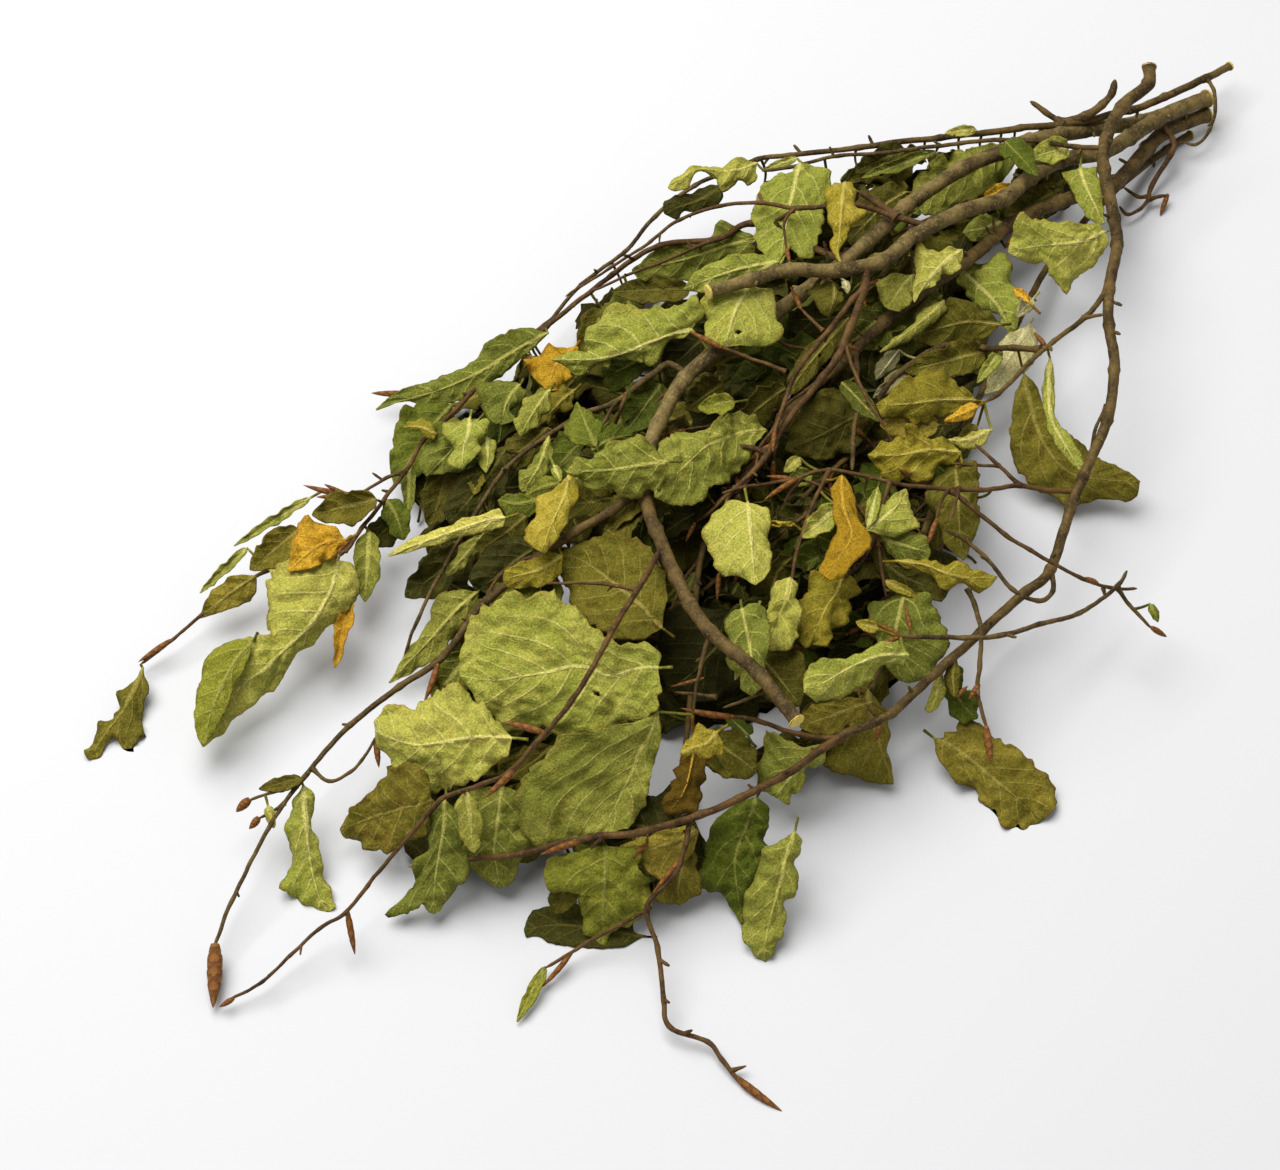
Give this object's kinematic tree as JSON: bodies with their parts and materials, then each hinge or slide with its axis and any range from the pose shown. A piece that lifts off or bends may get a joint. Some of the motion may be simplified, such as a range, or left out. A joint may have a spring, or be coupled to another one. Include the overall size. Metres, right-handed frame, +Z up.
{
  "type": "bundle of dried twigs",
  "caption": "Loose bunch of cut beech twigs lying on its side, with buds and dried leaves, the cut ends together.",
  "frame": {"origin": "on the table, under the middle of the bunch's box", "axes": "+X along the bunch towards the cut ends, +Z up from the table"},
  "size_m": [0.5836, 0.3139, 0.0792],
  "materials": {
    "grey_bark": "matt bark",
    "red_brown_bark": "matt bark",
    "dark_bark": "matt bark",
    "pale_leaf": "dull dried leaf",
    "green_leaf": "dull dried leaf",
    "olive_leaf": "dull dried leaf",
    "dark_leaf": "dull dried leaf",
    "golden_leaf": "dull dried leaf"
  },
  "bodies": {
    "root": {"thick_branch": "grey_bark", "thick_branch_side_twig": "red_brown_bark", "red_forked_twig": "red_brown_bark", "grey_branch": "grey_bark", "grey_branch_cut_fork": "dark_bark", "long_left_twig": "dark_bark", "lower_left_twig": "red_brown_bark", "grey_branch_left_shoot": "dark_bark", "far_left_twig": "red_brown_bark", "dark_branch": "dark_bark", "edge_twig": "dark_bark", "bow_twig": "grey_bark", "second_edge_twig": "dark_bark", "bow_twig_front_fork": "red_brown_bark", "bow_twig_right_shoots": "red_brown_bark", "front_tip_twig": "red_brown_bark", "curved_butt_shoot": "red_brown_bark", "under_twig": "dark_bark", "big_pale_leaf": "pale_leaf", "pale_leaf_beside_it": "pale_leaf", "broad_leaf_below": "green_leaf", "olive_leaf_above": "olive_leaf", "bright_centre_leaf": "pale_leaf", "golden_leaf": "golden_leaf", "torn_green_leaf": "pale_leaf", "green_leaf_over_grey_branch": "green_leaf", "green_leaf_left_of_grey_branch": "green_leaf", "round_upper_leaf": "pale_leaf", "leaf_under_thick_branch_end": "pale_leaf", "leaf_by_bow_twig": "pale_leaf", "grey_green_top_leaf": "green_leaf", "dark_edge_leaf": "dark_leaf", "pale_brown_leaf": "olive_leaf", "leaf_over_dark_branch": "pale_leaf", "far_tip_leaf": "green_leaf", "grey_leaf_at_far_edge": "green_leaf", "pale_leaf_behind_branch_end": "pale_leaf", "yellow_olive_leaf": "olive_leaf", "crumpled_olive_leaf": "olive_leaf", "leaf_behind_bow_twig": "olive_leaf", "grey_olive_right_leaf": "olive_leaf", "pale_leaf_over_bow_fork": "pale_leaf", "leaf_under_bow_fork": "dark_leaf", "pale_leaf_under_front_fork": "pale_leaf", "lone_right_leaf": "olive_leaf", "dark_left_leaf": "dark_leaf", "yellow_green_front_leaf": "pale_leaf", "pressed_front_leaf": "dark_leaf", "brown_front_leaf": "dark_leaf", "leaf_before_front_fork": "olive_leaf", "dark_green_front_leaf": "dark_leaf", "hanging_front_leaf": "olive_leaf", "s_curved_left_leaf": "pale_leaf", "far_green_leaf": "green_leaf", "orange_leaf": "golden_leaf", "grey_left_leaf": "green_leaf", "tall_brown_leaf": "olive_leaf", "hanging_left_leaf": "pale_leaf", "leftmost_leaf": "olive_leaf"}
  },
  "joints": []
}
